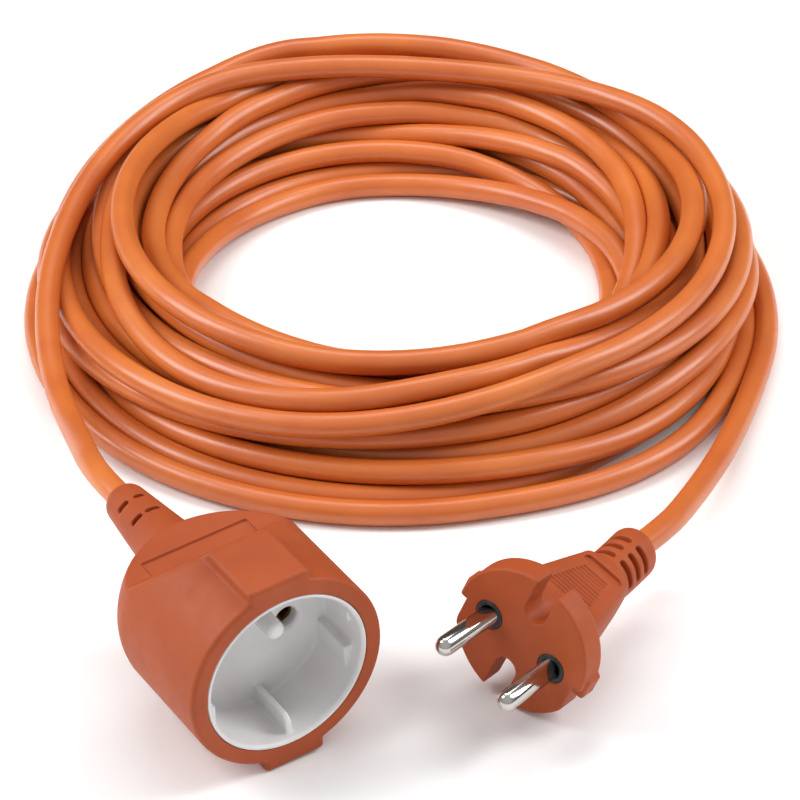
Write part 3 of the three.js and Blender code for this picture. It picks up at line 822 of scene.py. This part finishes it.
def build_pieces():
    """Every piece and painted node. What hangs at the plug's end is gathered in a list, which nothing
    uses.
    """
    sheath, moulding, white = orange_sheath(), orange_moulding(), white_plastic()
    black = tinted_plastic("black_plastic", linear(34, 38, 42), 0.4)
    nickel = metal("nickel_plate", linear(200, 194, 188), 0.1, 0.1)
    brass = metal("brass", linear(201, 165, 87), 0.25, 0.15)
    copper = metal("copper", linear(194, 122, 82), 0.3, 0.15)
    brown = tinted_plastic("brown_core", linear(107, 64, 40), 0.4)
    blue = tinted_plastic("blue_core", linear(47, 111, 181), 0.4)

    solid_piece("coupler_moulding", coupler_shell, low=(-26, -1.5, -27.5), high=(26, 78.5, 27.5),
                step=COUPLER_MESH, place=COUPLER_PLACE, material=moulding,
                node="coupler_shell")
    solid_piece("socket_cup", socket_insert, low=(-21.5, -1, -21.5), high=(21.5, 31, 21.5),
                step=COUPLER_MESH, place=COUPLER_PLACE, material=white,
                node="socket_insert")
    on_cord = [
        solid_piece("plug_moulding", plug_body, low=(-20, -1.5, -19.5), high=(20, 52, 19.5),
                    step=PLUG_MESH, place=PLUG_PLACE, material=moulding,
                    node="plug_body"),
        solid_piece("pin_carrier", pin_bridge, low=(-14, -1, -5), high=(14, 9, 5),
                    step=CARRIER_MESH, place=PLUG_PLACE, material=black,
                    node="plug_pin_bridge"),
        contact_pin("pin_live", -1, nickel, "plug_pin_live"),
        contact_pin("pin_neutral", 1, nickel, "plug_pin_neutral"),
    ]
    paint("contact_cover", white)
    for pole in ("live", "neutral"):
        paint(f"coupler_contact_{pole}", brass)
        paint(f"coupler_wire_end_{pole}", copper)
        on_cord.append(paint(f"plug_wire_end_{pole}", copper))
    for end in ("coupler", "plug"):
        cores = [paint(f"{end}_core_brown", brown), paint(f"{end}_core_blue", blue)]
        on_cord += cores if end == "plug" else []

    cord, line = build_cord(sheath)


build_pieces()


# ---------------------------------------------------------------- floor, light and camera

# Places are in metres here.
FLOOR_REACH = 3.0
OBJECT_MIDDLE = (0.09, 0.05, 0)
BRIGHT_WAY = (-0.40, -0.50, 0.77)    # the room is brightest up here, above the camera
ROOM_LIGHT = [                       # how far a direction goes the bright way, and its light
    (0.0, 0.16), (0.75, 1.0),
]
ROOM_STRENGTH = 0.6
SOFTBOXES = [                        # name, place, size and power in watts
    ("left_softbox", (-0.80, 0.62, 0.85), (0.4, 1.0), 13),
    ("right_softbox", (0.98, -0.42, 0.85), (0.4, 1.0), 10.5),
    ("top_softbox", (0.33, 0.48, 1.2), (0.9, 0.5), 5.5),
]
CAMERA_PLACE = (-0.30935, -0.57019, 0.53963)
CAMERA_AIM = (0.09714, 0.06786, 0)
CAMERA_SENSOR = 36                   # millimetres, as is the lens
CAMERA_LENS = 162


def build_floor():
    """A white, dull floor."""
    mesh = bpy.data.meshes.new("floor")
    reach, white = FLOOR_REACH, (0.94, 0.94, 0.94, 1)
    mesh.from_pydata([(-reach, -reach, 0), (reach, -reach, 0), (reach, reach, 0), (-reach, reach, 0)],
                     [], [(0, 1, 2, 3)])
    floor = bpy.data.objects.new("floor", mesh)
    bpy.context.scene.collection.objects.link(floor)
    look = Look("floor", Specular_IOR_Level=0.1)
    look.shader.inputs["Base Color"].default_value = white
    look.shader.inputs["Roughness"].default_value = 0.95
    mesh.materials.append(look.material)


def softbox(name, place, size, power):
    """A rectangular light that faces the middle of the object."""
    light = bpy.data.lights.new(name, "AREA")
    light.shape = "RECTANGLE"
    light.size, light.size_y = size
    light.energy = power
    lamp = bpy.data.objects.new(name, light)
    lamp.location = place
    lamp.rotation_euler = (Vector(OBJECT_MIDDLE) - Vector(place)).to_track_quat("-Z", "Y").to_euler()
    bpy.context.scene.collection.objects.link(lamp)


def light_room():
    """A soft room that is brightest above the camera, and the softboxes."""
    world = bpy.data.worlds.new("room")
    world.use_nodes = True
    tree = world.node_tree
    towards = tree.nodes.new("ShaderNodeVectorMath")
    towards.operation = "DOT_PRODUCT"
    towards.inputs[1].default_value = BRIGHT_WAY
    tree.links.new(tree.nodes.new("ShaderNodeTexCoord").outputs["Generated"], towards.inputs[0])
    fade = tree.nodes.new("ShaderNodeValToRGB")
    for element, (place, value) in zip(fade.color_ramp.elements, ROOM_LIGHT):
        element.position = place
        element.color = (value, value, value, 1)
    tree.links.new(towards.outputs["Value"], fade.inputs["Fac"])
    tree.links.new(fade.outputs["Color"], tree.nodes["Background"].inputs["Color"])
    tree.nodes["Background"].inputs["Strength"].default_value = ROOM_STRENGTH
    bpy.context.scene.world = world
    for box in SOFTBOXES:
        softbox(*box)


def place_camera():
    """The photo's viewpoint."""
    data = bpy.data.cameras.new("camera")
    data.sensor_width = CAMERA_SENSOR
    data.lens = CAMERA_LENS
    camera = bpy.data.objects.new("camera", data)
    camera.location = CAMERA_PLACE
    aim = Vector(CAMERA_AIM) - camera.location
    camera.rotation_euler = aim.to_track_quat("-Z", "Y").to_euler()
    bpy.context.scene.collection.objects.link(camera)
    bpy.context.scene.camera = camera


build_floor()
light_room()
place_camera()
bpy.context.scene.view_settings.view_transform = "Standard"
